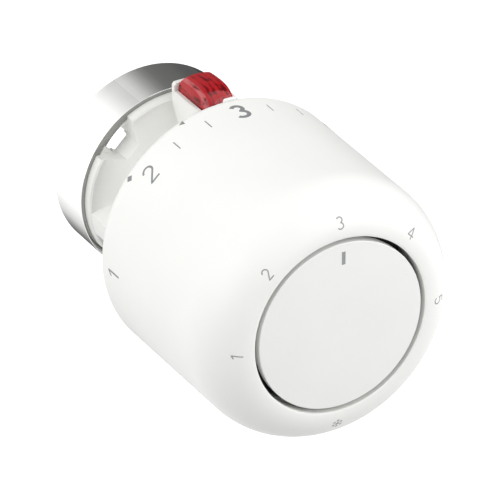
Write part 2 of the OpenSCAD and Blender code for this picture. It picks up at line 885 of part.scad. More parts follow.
// Steel rod between the bellows and the plunger.
module push_rod() {
    color([0.7, 0.7, 0.72])
        facing()
            translate([0, 0, rod_rear_z])
                cylinder(r = rod_r, h = bellows_end_z - 0.05 - rod_rear_z, $fn = 48);
}

// Washer that takes the return spring's push.
module spring_plate() {
    color([0.72, 0.72, 0.74])
        facing()
            tube(chamber_r - 1.2, plunger_r + seat_gap, spring_plate_z, plate_front_z);
}

// Stepped plunger that presses on the valve's pin.
module plunger() {
    color([0.9, 0.9, 0.88])
        facing()
            difference() {
                rotate_extrude()
                    polygon([
                        [0, plunger_rear_z],
                        [plunger_r - 0.5, plunger_rear_z],
                        [plunger_r, plunger_rear_z + 0.5],
                        [plunger_r, plate_front_z],
                        [plunger_r + 1.6, plate_front_z],
                        [plunger_r + 1.6, plate_front_z + plunger_collar_t],
                        [0, plate_front_z + plunger_collar_t]
                    ]);
                translate([0, 0, rod_rear_z])
                    cylinder(r = rod_r + seat_gap, h = 2 * past + plunger_collar_t, $fn = 48);
            }
}

// Translucent red button: domed, hollow below for its spring.
crown_steps = 8;
module button_outline() {
    crown_left = [button_left + button_round * 0.4, button_edge + button_round * 0.5];
    crown_right = [button_right, button_crown - 1.1];
    crown_mid = [housing_mid, 2 * button_crown - (crown_left[1] + crown_right[1]) / 2];
    polygon(concat(
        [
            [button_right, button_under],
            [button_right, crown_right[1]]
        ],
        [for (i = [1:crown_steps - 1])
            let (t = i / crown_steps)
                (1 - t) * (1 - t) * crown_right + 2 * t * (1 - t) * crown_mid + t * t * crown_left],
        [
            crown_left,
            [button_left, button_edge],
            [button_left, button_under]
        ]
    ));
}

// The button's outline seen from its side: its crown falls towards both ends.
module button_side() {
    rear = [button_rear_z, button_crown - button_fall - 0.4];
    front = [button_front_z, button_crown - button_fall];
    top = [(button_rear_z + button_front_z) / 2, button_crown + button_fall + 0.2];
    polygon(concat(
        [
            [button_front_z, button_under - past],
            [button_rear_z, button_under - past],
            rear
        ],
        [for (i = [1:crown_steps - 1])
            let (t = i / crown_steps)
                (1 - t) * (1 - t) * rear + 2 * t * (1 - t) * top + t * t * front],
        [front]
    ));
}

module release_button() {
    color([0.72, 0.08, 0.09])
        facing()
            difference() {
                intersection() {
                    translate([0, 0, button_rear_z])
                        linear_extrude(height = button_front_z - button_rear_z)
                            button_outline();
                    translate([button_right + past, 0, 0])
                        rotate([0, -90, 0])
                            linear_extrude(height = button_right - button_left + 2 * past)
                                button_side();
                }
                translate([housing_mid, button_under - past, spring_z])
                    rotate([-90, 0, 0])
                        cylinder(r = spring_r + 0.7, h = spring_pocket_top - button_under + past, $fn = 32);
            }
}

// Arm under the button that reaches back through the flange and spreads the clamp spring.
module release_wedge() {
    color([0.88, 0.88, 0.86])
        facing() {
            block([housing_mid - arm_w / 2, arm_under, clamp_z - wedge_t / 2],
                [housing_mid + arm_w / 2, arm_under + arm_end_t, button_rear_z - button_gap]);
            block([housing_mid - arm_w / 2, arm_under - 0.2, button_rear_z - button_gap - eps],
                [housing_mid + arm_w / 2, button_under, button_rear_z + arm_t]);
        }
}

base_body();
locking_collar();
clamp_spring();
guide_tube();
front_cap();
retaining_ring();
setting_pointer();
release_spring();
return_spring();
knob_shell();
thread_sleeve();
limit_pins();
sensor_carrier();
sensor_can();
can_end_plate();
bellows();
filling_tube();
overload_spring();
spring_retainer();
push_rod();
spring_plate();
plunger();
release_button();
release_wedge();
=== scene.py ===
import math

import bmesh
import bpy
from mathutils import Matrix, Vector


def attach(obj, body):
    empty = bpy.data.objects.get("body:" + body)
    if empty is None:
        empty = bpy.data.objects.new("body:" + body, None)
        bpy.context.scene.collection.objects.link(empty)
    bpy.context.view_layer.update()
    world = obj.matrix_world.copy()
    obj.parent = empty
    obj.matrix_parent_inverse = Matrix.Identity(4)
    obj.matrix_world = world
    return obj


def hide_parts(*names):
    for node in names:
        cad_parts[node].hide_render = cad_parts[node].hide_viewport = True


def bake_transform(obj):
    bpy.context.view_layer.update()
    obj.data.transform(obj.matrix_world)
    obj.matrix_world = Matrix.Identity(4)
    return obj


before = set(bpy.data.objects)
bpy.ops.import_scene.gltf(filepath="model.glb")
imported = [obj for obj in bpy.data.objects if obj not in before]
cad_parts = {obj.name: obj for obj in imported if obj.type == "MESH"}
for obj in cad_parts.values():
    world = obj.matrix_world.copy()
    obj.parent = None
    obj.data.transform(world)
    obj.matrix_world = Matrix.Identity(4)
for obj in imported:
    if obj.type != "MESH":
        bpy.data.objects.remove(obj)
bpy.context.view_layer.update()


# ---------------------------------------------------------------- View and light
# The head hangs in an even white room: four broad soft lamps, a pale floor well
# below, and a graded card behind it that only mirrored rays see.

CAMERA_RIGHT = Vector((0.8674, -0.4976, 0.0))
CAMERA_UP = Vector((0.2481, 0.4325, 0.8669))
CAMERA_BACK = Vector((-0.4313, -0.7518, 0.4986))
camera_distance, camera_left, camera_raised = 1.2, 0.015612, 0.012982
dial_centre = Vector((0, -0.0693, 0))

lens = bpy.data.cameras.new("view")
lens.sensor_width = 36
lens.lens = 501.1
lens.clip_start = 0.1
lens.clip_end = 20
camera = bpy.data.objects.new("view", lens)
bpy.context.scene.collection.objects.link(camera)
camera.matrix_world = Matrix.Translation(
    dial_centre
    - camera_left * CAMERA_RIGHT
    + camera_raised * CAMERA_UP
    + camera_distance * CAMERA_BACK
) @ Matrix((CAMERA_RIGHT, CAMERA_UP, CAMERA_BACK)).transposed().to_4x4()
bpy.context.scene.camera = camera
bpy.context.scene.view_settings.view_transform = "Standard"


class Feed:
    """A value on its way through a shader. Sums on it add their own Math nodes."""

    def __init__(self, tree, output=None):
        self.tree = tree
        self.output = output

    def add(self, kind, settings=None, sockets=None, take=0):
        """One more node: its settings first, then the values or feeds of its sockets."""
        node = self.tree.nodes.new(kind)
        for name, value in (settings or {}).items():
            if name == "stops":
                ramp = node.color_ramp
                while len(ramp.elements) < len(value):
                    ramp.elements.new(0.5)
                for element, (place, colour) in zip(ramp.elements, value):
                    element.position = place
                    element.color = colour
            else:
                setattr(node, name, value)
        for name, value in (sockets or {}).items():
            if isinstance(value, Feed):
                self.tree.links.new(value.output, node.inputs[name])
            else:
                node.inputs[name].default_value = value
        return Feed(self.tree, node.outputs[take] if len(node.outputs) else None)

    def math(self, operation, first, second=0.0, clamp=False):
        return self.add(
            "ShaderNodeMath", {"operation": operation, "use_clamp": clamp}, {0: first, 1: second}
        )

    def __add__(self, other):
        return self.math("ADD", self, other)

    def __radd__(self, other):
        return self.math("ADD", other, self)

    def __sub__(self, other):
        return self.math("SUBTRACT", self, other)

    def __rsub__(self, other):
        return self.math("SUBTRACT", other, self)

    def __mul__(self, other):
        return self.math("MULTIPLY", self, other)

    def __rmul__(self, other):
        return self.math("MULTIPLY", other, self)

    def __pow__(self, other):
        return self.math("POWER", self, other)

    def clamped(self):
        return self.math("ADD", self, 0.0, clamp=True)

    def between(self, low, high):
        """0 below low, 1 above high, and a soft step between."""
        return self.add(
            "ShaderNodeMapRange",
            {"interpolation_type": "SMOOTHSTEP"},
            {"Value": self, "From Min": low, "From Max": high},
        )

    def tint(self, low, high):
        """A colour between two colours, or feeds of a colour, led by this value."""
        low, high = (end if isinstance(end, Feed) else (*end, 1) for end in (low, high))
        return self.add(
            "ShaderNodeMix", {"data_type": "RGBA"}, {0: self, 6: low, 7: high}, take=2
        )


def seen_directly(feed):
    """1 for rays that end in the picture: straight, mirrored or through clear plastic."""
    rays = {
        name: feed.add("ShaderNodeLightPath", take=name)
        for name in ("Is Camera Ray", "Is Glossy Ray", "Is Transmission Ray")
    }
    return (rays["Is Camera Ray"] + rays["Is Glossy Ray"] + rays["Is Transmission Ray"]).clamped()


room_level = 0.525
room = bpy.data.worlds.new("room")
room.use_nodes = True
room.node_tree.nodes.clear()
room_feed = Feed(room.node_tree)
room_colour = seen_directly(room_feed).tint([room_level] * 3, (1, 1, 1))
room_light = room_feed.add("ShaderNodeBackground", None, {"Color": room_colour, "Strength": 1.0})
room_feed.add("ShaderNodeOutputWorld", None, {"Surface": room_light})
bpy.context.scene.world = room


lamp_spread = 90


def lamp(name, towards, level):
    """A broad lamp that lights a white face turned to it by level."""
    light = bpy.data.lights.new(name, "SUN")
    light.energy = level * math.pi
    light.angle = math.radians(lamp_spread)
    lit = bpy.data.objects.new(name, light)
    bpy.context.scene.collection.objects.link(lit)
    lit.matrix_world = Vector(towards).to_track_quat("Z", "Y").to_matrix().to_4x4()


for name, towards, level in (
    ("left_lamp", (-1.0, 0.0, 0.1), 0.47),
    ("rear_left_lamp", (-0.8, 0.5, 0.3), 0.33),
    ("front_right_lamp", (0.7, -0.7, 0.1), 0.64),
    ("high_right_lamp", (0.7, -0.2, 0.6), 0.33),
):
    lamp(name, towards, level)


def flat_card(name, width, place, facing):
    """A flat square of the studio, turned to face one way."""
    bm = bmesh.new()
    bmesh.ops.create_grid(bm, x_segments=1, y_segments=1, size=width / 2)
    mesh = bpy.data.meshes.new(name)
    bm.to_mesh(mesh)
    bm.free()
    card = bpy.data.objects.new(name, mesh)
    bpy.context.scene.collection.objects.link(card)
    card.matrix_world = Matrix.Translation(place) @ (
        Vector(facing).to_track_quat("Z", "Y").to_matrix().to_4x4()
    )
    return card


def material(name):
    """An empty node material and the feed that starts its nodes."""
    made = bpy.data.materials.new(name)
    made.use_nodes = True
    made.node_tree.nodes.clear()
    return made, Feed(made.node_tree)


floor_depth, floor_bounce, floor_seen, floor_glow = 0.3, 0.4, 0.8, 0.35
floor = flat_card("floor", 6, (0, 0, -floor_depth), (0, 0, 1))
floor_paint, floor_feed = material("floor_paint")
matt = floor_feed.add("ShaderNodeBsdfDiffuse", None, {"Color": (*[floor_bounce] * 3, 1)})
bright = floor_feed.add("ShaderNodeBsdfDiffuse", None, {"Color": (*[floor_seen] * 3, 1)})
glow = floor_feed.add("ShaderNodeEmission", None, {"Strength": floor_glow})
paper = floor_feed.add("ShaderNodeAddShader", None, {0: bright, 1: glow})
floor_face = floor_feed.add(
    "ShaderNodeMixShader", None, {0: seen_directly(floor_feed), 1: matt, 2: paper}
)
floor_feed.add("ShaderNodeOutputMaterial", None, {"Surface": floor_face})
floor.data.materials.append(floor_paint)

# Brightness of the card by metres across it. Its lower left part is darker, as if
# those tones lay further to the left.
card_behind, card_left, card_span, card_peak, card_shift = 0.3, -0.16, 0.44, 1.12, 0.07
card_tones = (
    (-0.145, 1.0),
    (-0.097, 0.82),
    (-0.060, 0.70),
    (-0.022, 0.62),
    (0.017, 0.59),
    (0.055, 0.48),
    (0.092, 0.33),
    (0.127, 0.213),
    (0.160, 0.147),
    (0.190, 0.131),
    (0.237, 0.114),
    (0.262, 0.085),
    (0.280, 0.05),
)
card = flat_card("dark_card", 3, (0.0, card_behind, 0.0), (0, -1, 0))
card_paint, card_feed = material("card_paint")
card_paint.cycles.emission_sampling = "NONE"
card_place = card_feed.add("ShaderNodeTexCoord", take="Object")
across, upward = (
    card_feed.add("ShaderNodeSeparateXYZ", None, {"Vector": card_place}, take=name)
    for name in "XY"
)
lower = (-1 * upward).between(0.02, 0.12) * across.between(-0.06, -0.01)
card_tone = card_feed.add(
    "ShaderNodeValToRGB",
    {
        "stops": [
            ((x - card_left) / card_span, (tone, tone, 0.985 * tone, 1))
            for x, tone in card_tones
        ]
    },
    {"Fac": (across + card_shift * lower - card_left) * (1 / card_span)},
)
card_glow = card_feed.add("ShaderNodeEmission", None, {"Color": card_tone, "Strength": card_peak})
card_feed.add("ShaderNodeOutputMaterial", None, {"Surface": card_glow})
card.data.materials.append(card_paint)
card.visible_camera = False
card.visible_diffuse = False
card.visible_shadow = False
card.visible_transmission = False


# ---------------------------------------------------------------- Moulded base
# One satin white moulding that carries everything: the collar's seat, the flange
# with its corner notches, the neck, the lug, the button's housing and the plate on
# which the knob runs. Its sharp edges are just broken.

MM = 0.001


def surface(feed, sockets):
    """Ends a material in one Principled shader."""
    shader = feed.add("ShaderNodeBsdfPrincipled", None, sockets)
    feed.add("ShaderNodeOutputMaterial", None, {"Surface": shader})


def noise(feed, place, size_mm, detail=2.0, stretch=None):
    """Soft cloudy noise whose spots are about size_mm across."""
    if stretch is not None:
        place = feed.add("ShaderNodeMapping", None, {"Vector": place, "Scale": stretch})
    return feed.add(
        "ShaderNodeTexNoise",
        None,
        {"Vector": place, "Scale": 1 / (size_mm * MM), "Detail": detail, "Roughness": 0.5},
    )


def relief(feed, height, depth_mm, over=None):
    """Bumps from 0 to depth_mm high, over an earlier relief where there is one."""
    sockets = {"Height": height, "Distance": depth_mm * MM, "Strength": 1.0}
    if over is not None:
        sockets["Normal"] = over
    return feed.add("ShaderNodeBump", None, sockets)


def around(feed, place):
    """(radius, angle as -1 to 1) of a point about the head's axis."""
    x, z = (
        feed.add("ShaderNodeSeparateXYZ", None, {"Vector": place}, take=name) for name in "XZ"
    )
    radius = (x * x + z * z) ** 0.5
    return radius, feed.math("ARCTAN2", z, x) * (1 / math.pi)


def moulded_plastic(
    name, deep, pale, roughness, grain_mm=0.35, grain_depth=0.004, crown_mm=0, crown_r=16
):
    """Moulded plastic: a slow drift of its colour, flow clouds in its gloss, spark-eroded
    grain. A crowned face also bulges by crown_mm over the radius crown_r."""
    made, feed = material(name)
    place = feed.add("ShaderNodeTexCoord", take="Object")
    drift = noise(feed, place, 14)
    flow = noise(feed, place, 4, detail=3, stretch=(1, 0.35, 1))
    grain = noise(feed, place, grain_mm, detail=4)
    normal = relief(feed, grain, grain_depth)
    if crown_mm:
        radius, _ = around(feed, place)
        bulge = 1 - (radius * (1 / (crown_r * MM))) ** 2
        normal = relief(feed, bulge, crown_mm, over=normal)
    surface(
        feed,
        {
            "Base Color": (0.7 * drift + 0.3 * grain).between(0.25, 0.75).tint(deep, pale),
            "Roughness": roughness + 0.10 * (flow - 0.5) + 0.08 * (grain - 0.5),
            "Normal": normal,
            "IOR": 1.46,
        },
    )
    return made


def merged_copy(node):
    """A CAD node's loose triangles as one closed mesh with its flat faces whole."""
    bm = bmesh.new()
    bm.from_mesh(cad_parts[node].data)
    bmesh.ops.remove_doubles(bm, verts=bm.verts, dist=2e-6)
    bmesh.ops.dissolve_limit(
        bm,
        angle_limit=math.radians(0.6),
        verts=bm.verts,
        edges=bm.edges,
        use_dissolve_boundaries=False,
    )
    return bm


def break_edges(bm, width_mm, least_angle, segments=2):
    """Rounds the sharp edges of a solid that is already in its place."""
    sharp = [
        edge
        for edge in bm.edges
        if edge.is_manifold and edge.calc_face_angle(0) > math.radians(least_angle)
    ]
    bmesh.ops.bevel(
        bm,
        geom=sharp,
        offset=width_mm * MM,
        offset_type="OFFSET",
        affect="EDGES",
        segments=segments,
        profile=0.5,
        material=-1,
        clamp_overlap=True,
    )


def piece(bm, name, paint, sharp_angle=35, weighted=False):
    """Turns a finished bmesh into an object at the origin, smooth up to an angle."""
    for face in bm.faces:
        face.smooth = True
    sharp = math.radians(sharp_angle)
    for edge in bm.edges:
        edge.smooth = not edge.is_manifold or edge.calc_face_angle(0) < sharp
    mesh = bpy.data.meshes.new(name)
    bm.to_mesh(mesh)
    bm.free()
    mesh.materials.append(paint)
    made = bpy.data.objects.new(name, mesh)
    bpy.context.scene.collection.objects.link(made)
    if weighted:
        normals = made.modifiers.new("flat_faces", "WEIGHTED_NORMAL")
        normals.keep_sharp = True
    return made


base_paint = moulded_plastic("base_plastic", (0.80, 0.80, 0.775), (0.86, 0.86, 0.835), 0.42)
base_mesh = merged_copy("base_body")
break_edges(base_mesh, 0.13, 30)
moulded_base = piece(base_mesh, "moulded_base", base_paint, weighted=True)
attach(moulded_base, "base")
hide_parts("base_body")


# ---------------------------------------------------------------- Locking collar
# A polished ring that slips over the base behind the flange and locks the head to
# the valve. Chrome over brass: turned, its two rims rounded, then buffed around.


def turned(outline, steps=256):
    """Spins a closed outline of (radius, forward, corner radius), in mm, about the axis."""
    bm = bmesh.new()
    corners = [bm.verts.new((r * MM, -a * MM, 0)) for r, a, _ in outline]
    for i, corner in enumerate(corners):
        bm.edges.new((corners[i - 1], corner))
    for corner, (_, _, rounding) in zip(corners, outline):
        if rounding:
            bmesh.ops.bevel(
                bm,
                geom=[corner],
                offset=rounding * MM,
                offset_type="OFFSET",
                affect="VERTICES",
                segments=5,
                profile=0.5,
                material=-1,
            )
    bmesh.ops.spin(
        bm,
        geom=bm.verts[:] + bm.edges[:],
        cent=(0, 0, 0),
        axis=(0, 1, 0),
        angle=2 * math.pi,
        steps=steps,
        use_merge=True,
    )
    bmesh.ops.remove_doubles(bm, verts=bm.verts, dist=1e-6)
    bmesh.ops.recalc_face_normals(bm, faces=bm.faces)
    return bm


def buffed_metal(name, deep, pale, roughness, scratch_mm, scratch_depth, seam=None, painted_end_shade=1.0):
    """Polished metal with fine marks that run round the axis, and a faint haze.
    A rolled piece also has a seam at one angle. Its end faces, which look along the axis, can
    take painted shade: a darker colour that stands in for the shaded gap they mirror."""
    made, feed = material(name)
    place = feed.add("ShaderNodeTexCoord", take="Object")
    radius, angle = around(feed, place)
    y = feed.add("ShaderNodeSeparateXYZ", None, {"Vector": place}, take="Y")
    rings = feed.add("ShaderNodeCombineXYZ", None, {"X": radius, "Y": y, "Z": 0.0})
    scratches = noise(feed, rings, scratch_mm, detail=5)
    haze = noise(feed, place, 6)
    sheen = haze.between(0.3, 0.7).tint(deep, pale)
    normal = relief(feed, scratches, scratch_depth)
    if seam is not None:
        apart_mm = feed.math("ABSOLUTE", angle - seam / 180) * (collar_outer * math.pi)
        valley = 1 - feed.math("POWER", math.e, -seam_sharpness * apart_mm)
        normal = relief(feed, valley, seam_depth, over=normal)
    # Painted shade: faces that look along the axis are darkened, in place of the dark reflection
    # of the shaded gap in front of them.
    if painted_end_shade < 1:
        facing = feed.add("ShaderNodeTexCoord", take="Normal")
        along = feed.add("ShaderNodeSeparateXYZ", None, {"Vector": facing}, take="Y")
        end = feed.math("ABSOLUTE", along).between(0.6, 0.85)
        sheen = end.tint(sheen, (painted_end_shade, painted_end_shade, 0.97 * painted_end_shade))
    surface(
        feed,
        {
            "Base Color": sheen,
            "Metallic": 1.0,
            "Roughness": roughness + 0.05 * scratches + 0.04 * haze.between(0.45, 0.8),
            "Normal": normal,
        },
    )
    return made


collar_outer, collar_inner, collar_height = 18.43, 17.1, 9.7
seam_depth, seam_sharpness = 0.06, 1.1
# The collar's two end faces get painted shade, darkened to 0.34 of the chrome's colour.
collar_paint = buffed_metal(
    "collar_chrome",
    (0.92, 0.92, 0.915),
    (0.955, 0.955, 0.95),
    0.02,
    0.12,
    0.0002,
    seam=110,
    painted_end_shade=0.34,
)
polished_collar = piece(
    turned(
        [
            (collar_inner, 0, 0.3),
            (collar_outer, 0, 0.2),
            (collar_outer, collar_height, 0.12),
            (collar_inner, collar_height, 0.15),
        ]
    ),
    "polished_collar",
    collar_paint,
    weighted=True,
)
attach(polished_collar, "base")
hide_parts("locking_collar")


# ---------------------------------------------------------------- Release button
# The red push-button that frees the head from the valve: polished clear acrylic
# tinted red, domed on top, with its guide ribs and their dark gaps showing through, and a pink
# band of painted highlight along its left rounded edge.

button_left, button_right, button_rear, button_front = -0.2, 6.6, 12.8, 25.9
button_under, button_crown = 15.2, 22.42
dome_front, dome_middle, tongue_top = 22.3, 17.0, 19.1
dome_front_bow, dome_side_fall, dome_rear_fall = 1.6, 0.65, 0.3
left_round, right_round, rear_round = 1.0, 0.9, 0.5
tongue_rows = 0.12


def fillet_drop(distance, radius):
    """How far a rounded edge lies below the surface beside it."""
    return radius - math.sqrt(max(0, radius ** 2 - max(0, radius - distance) ** 2))


def button_top(across, along):
    """A point of the button's top: across runs -1 to 1, along from 0 to 1 over the dome
    and on to 2 over the low tongue in front of it."""
    s = (button_left + button_right) / 2 + across * (button_right - button_left) / 2
    front = dome_front - dome_front_bow * abs(across) ** 4
    if along > 1:
        a = front + (button_front - front) * (along - 1)
        return s, a, tongue_top - 0.01 * across ** 2
    a = button_rear + (front - button_rear) * along
    u = button_crown - dome_side_fall * across ** 2
    if a > dome_middle:
        reach = (a - dome_middle) / (front - dome_middle)
        u -= (u - tongue_top) * (1 - math.sqrt(max(0, 1 - reach ** 2.3)))
    else:
        u -= dome_rear_fall * ((dome_middle - a) / (dome_middle - button_rear)) ** 2
    u -= fillet_drop(s - button_left, left_round) + fillet_drop(button_right - s, right_round)
    return s, a, max(tongue_top, u - fillet_drop(a - button_rear, rear_round))


bm = bmesh.new()
bmesh.ops.create_grid(bm, x_segments=36, y_segments=64, size=1)
for v in bm.verts:
    row = (v.co.y + 1) / 2 * (1 + tongue_rows)
    along = (1 - math.cos(math.pi * row)) / 2 if row < 1 else 1 + (row - 1) / tongue_rows
    s, a, u = button_top(math.sin(math.pi / 2 * v.co.x), along)
    v.co = (s * MM, -a * MM, u * MM)
rim = [edge for edge in bm.edges if edge.is_boundary]
skirt = bmesh.ops.extrude_edge_only(bm, edges=rim)
for v in skirt["geom"]:
    if isinstance(v, bmesh.types.BMVert):
        v.co.z = button_under * MM
bmesh.ops.holes_fill(bm, edges=[edge for edge in bm.edges if edge.is_boundary], sides=0)
bmesh.ops.recalc_face_normals(bm, faces=bm.faces)

red_paint, feed = material("button_red")
place = feed.add("ShaderNodeTexCoord", take="Object")
x = feed.add("ShaderNodeSeparateXYZ", None, {"Vector": place}, take="X")
rib_pitch, highlight_middle, highlight_half = 1.1, 0.65, 0.5
streaks = noise(feed, place, 0.9, detail=3, stretch=(1, 0.25, 1))
ribs = feed.math("SINE", x * (2 * math.pi / (rib_pitch * MM))) * 0.5 + 0.5
depth = (0.7 * streaks + 0.3 * ribs * streaks.between(0.3, 0.55)).between(0.22, 0.46)
# Painted highlight: a soft band on the rounded left edge, 0.15 to 1.15 mm across in x, where the
# white room is mirrored.
painted_highlight_band = (1 - ((x * (1 / MM) - highlight_middle) * (1 / highlight_half)) ** 2).between(0.0, 0.9)
grain = noise(feed, place, 0.5, detail=3)
# Base colour: deep red led by the streaks and ribs, lifted to pink by the painted highlight band
# on the left edge.
red_with_painted_highlight = (0.6 * painted_highlight_band * streaks.between(0.3, 0.6)).tint(
    depth.tint((0.12, 0.004, 0.006), (0.42, 0.012, 0.018)), (0.62, 0.20, 0.21)
)
surface(
    feed,
    {
        "Base Color": red_with_painted_highlight,
        "Roughness": 0.14 + 0.08 * (grain - 0.5),
        "Normal": relief(feed, 0.7 * streaks + 0.3 * grain, 0.015),
        "Specular IOR Level": 0.35,
        "Subsurface Weight": 0.25,
        "Subsurface Radius": (1.0, 0.15, 0.1),
        "Subsurface Scale": 0.001,
    },
)
red_button = piece(bm, "red_button", red_paint, sharp_angle=50)
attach(red_button, "release")
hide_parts("release_button")


# ---------------------------------------------------------------- Turning knob
# The white shell that is turned by hand: a thick satin moulding with a bevelled
# rear rim, a long elliptical shoulder and an inner hub on eight ribs that grips
# the thread sleeve.

knob_side, knob_rear, knob_front = 24.97, 27.6, 69.3
opening, shoulder_foot, shoulder_radial, shoulder_axial = 17.0, 17.3, 7.67, 9.5
rear_bevel_r, rear_bevel_l = 1.15, 1.7
wall_inner, lip_rear, inner_foot, inner_axial = 22.8, 66.6, 18.6, 6.8
hub_outer, hub_inner, hub_rear, hub_front = 19.7, 18.5, 33.1, 63.5
hub_lip, hub_lip_rear = 1.2, 62.1
rib_count, rib_thick, rib_length, rib_bite = 8, 1.2, 27.7, 0.2


def shoulder_line(foot, radial, face, axial, steps):
    """A quarter ellipse from the side to the face, as points of an outline."""
    return [
        (
            foot + radial * math.cos(math.pi / 2 * i / steps),
            face - axial + axial * math.sin(math.pi / 2 * i / steps),
            0,
        )
        for i in range(steps + 1)
    ]


outline = [
    (wall_inner, knob_rear, 0.3),
    (knob_side - rear_bevel_r, knob_rear, 0.25),
    (knob_side, knob_rear + rear_bevel_l, 0.5),
    *shoulder_line(shoulder_foot, shoulder_radial, knob_front, shoulder_axial, 48),
    (opening + 0.04, knob_front - 0.07, 0),
    (opening, knob_front - 0.25, 0),
    (opening, lip_rear, 0),
    *reversed(shoulder_line(inner_foot, wall_inner - inner_foot, lip_rear, inner_axial, 24)),
]
knob_mesh = turned(outline)
knob_cup = turned(
    [
        (hub_inner, hub_rear, 0.15),
        (hub_outer, hub_rear, 0.15),
        (hub_outer, hub_front, 0),
        (hub_inner - hub_lip, hub_front, 0),
        (hub_inner - hub_lip, hub_lip_rear, 0),
        (hub_inner, hub_lip_rear, 0),
    ],
    steps=128,
)


def joined(target, source):
    """Adds one bmesh to another."""
    carrier = bpy.data.meshes.new("carrier")
    source.to_mesh(carrier)
    source.free()
    target.from_mesh(carrier)
    bpy.data.meshes.remove(carrier)


joined(knob_mesh, knob_cup)
for i in range(rib_count):
    rib = bmesh.new()
    bmesh.ops.create_cube(rib, size=1)
    rib_reach = wall_inner - hub_outer + 2 * rib_bite
    bmesh.ops.scale(
        rib, vec=(rib_reach * MM, rib_length * MM, rib_thick * MM), verts=rib.verts
    )
    bmesh.ops.translate(
        rib,
        vec=((wall_inner + hub_outer) / 2 * MM, -(hub_rear + rib_length / 2) * MM, 0),
        verts=rib.verts,
    )
    bmesh.ops.rotate(
        rib,
        cent=(0, 0, 0),
        matrix=Matrix.Rotation(2 * math.pi * (i + 0.5) / rib_count, 3, "Y"),
        verts=rib.verts,
    )
    break_edges(rib, 0.15, 60)
    joined(knob_mesh, rib)

knob_paint = moulded_plastic(
    "knob_plastic", (0.875, 0.88, 0.855), (0.90, 0.905, 0.88), 0.36, 0.3, 0.002
)
turning_knob = piece(knob_mesh, "turning_knob", knob_paint, weighted=True)
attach(turning_knob, "knob")
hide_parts("knob_shell")


# ---------------------------------------------------------------- Dial print
# Pad-printed grey ink on the knob, drawn as pen strokes and wrapped on: the large
# numbers, ticks, triangle and square on its side, and the small numbers and frost
# star on its shoulder.


def bow(cx, cy, rx, ry, start, stop, steps=14):
    """Points on part of an ellipse, by angles in degrees."""
    return [
        (
            cx + rx * math.cos(math.radians(start + (stop - start) * i / steps)),
            cy + ry * math.sin(math.radians(start + (stop - start) * i / steps)),
        )
        for i in range(steps + 1)
    ]


def spoke(radius, angle):
    """A point of the frost star, from its centre."""
    turn = math.radians(angle)
    return radius * math.cos(turn), 0.5 + radius * math.sin(turn)


# Pen strokes of each figure, one unit high and standing on its foot. The frost star
# has six arms with a pair of barbs on each.
FIGURES = {
    "1": [[(-0.20, 0.76), (0.06, 1.0), (0.06, 0.0)]],
    "2": [[*bow(0, 0.73, 0.27, 0.27, 165, -28), (-0.28, 0.0), (0.29, 0.0)]],
    "3": [[*bow(0, 0.76, 0.24, 0.24, 150, -75), *bow(0, 0.265, 0.28, 0.265, 78, -150)]],
    "4": [[(0.12, 0.0), (0.12, 1.0), (-0.30, 0.28), (0.32, 0.28)]],
    "5": [[(0.24, 1.0), (-0.17, 1.0), (-0.22, 0.54), *bow(0, 0.32, 0.28, 0.32, 130, -150)]],
    "frost": [
        [spoke(radius, 60 * arm + side) for radius, side in branch]
        for arm in range(6)
        for branch in (((0, 30), (0.5, 30)), ((0.46, 12), (0.3, 30), (0.46, 48)))
    ],
    "tick": [[(0, 0), (0, 1)]],
}
INK_LIFT, PEN_STEP = 0.025, 0.2


def pen_marks(figure, height, pen):
    """A figure's strokes as a flat ribbon mesh in mm, its middle at the origin."""
    line = bpy.data.curves.new("pen", "CURVE")
    line.dimensions = "3D"
    line.bevel_depth = pen / 2
    line.bevel_resolution = 2
    line.use_fill_caps = True
    for stroke in FIGURES[figure]:
        path = [stroke[0]]
        for (x0, y0), (x1, y1) in zip(stroke, stroke[1:]):
            parts = math.ceil(math.dist((x0, y0), (x1, y1)) * height / PEN_STEP)
            path += [
                (x0 + (x1 - x0) * i / parts, y0 + (y1 - y0) * i / parts)
                for i in range(1, parts + 1)
            ]
        spline = line.splines.new("POLY")
        spline.points.add(len(path) - 1)
        for point, (x, y) in zip(spline.points, path):
            point.co = (x * height, (y - 0.5) * height, 0, 1)
    drawn = bpy.data.objects.new("pen", line)
    bpy.context.scene.collection.objects.link(drawn)
    bpy.context.view_layer.update()
    finished = drawn.evaluated_get(bpy.context.evaluated_depsgraph_get())
    mesh = bpy.data.meshes.new_from_object(finished)
    bm = bmesh.new()
    bm.from_mesh(mesh)
    bpy.data.objects.remove(drawn)
    bpy.data.curves.remove(line)
    bpy.data.meshes.remove(mesh)
    bmesh.ops.scale(bm, vec=(1, 1, INK_LIFT / (pen / 2)), verts=bm.verts)
    return bm


def patch_marks(corners, size, turn):
    """A filled mark with that many corners."""
    bm = bmesh.new()
    bmesh.ops.create_circle(
        bm,
        cap_ends=True,
        radius=size,
        segments=corners,
        matrix=Matrix.Rotation(math.radians(turn), 4, "Z"),
    )
    bmesh.ops.translate(bm, vec=(0, 0, INK_LIFT), verts=bm.verts)
    grown = bmesh.ops.extrude_face_region(bm, geom=bm.faces[:])
    bmesh.ops.translate(
        bm,
        vec=(0, 0, -1.5 * INK_LIFT),
        verts=[v for v in grown["geom"] if isinstance(v, bmesh.types.BMVert)],
    )
    bmesh.ops.recalc_face_normals(bm, faces=bm.faces)
    return bm


def wrap_on_side(bm, angle, forward):
    """Bends a mark onto the knob's side, its top towards the valve."""
    for v in bm.verts:
        x, y, lift = v.co
        turn = math.radians(angle) - x / knob_side
        r = knob_side + lift
        v.co = (r * math.cos(turn) * MM, -(forward - y) * MM, r * math.sin(turn) * MM)
    return bm


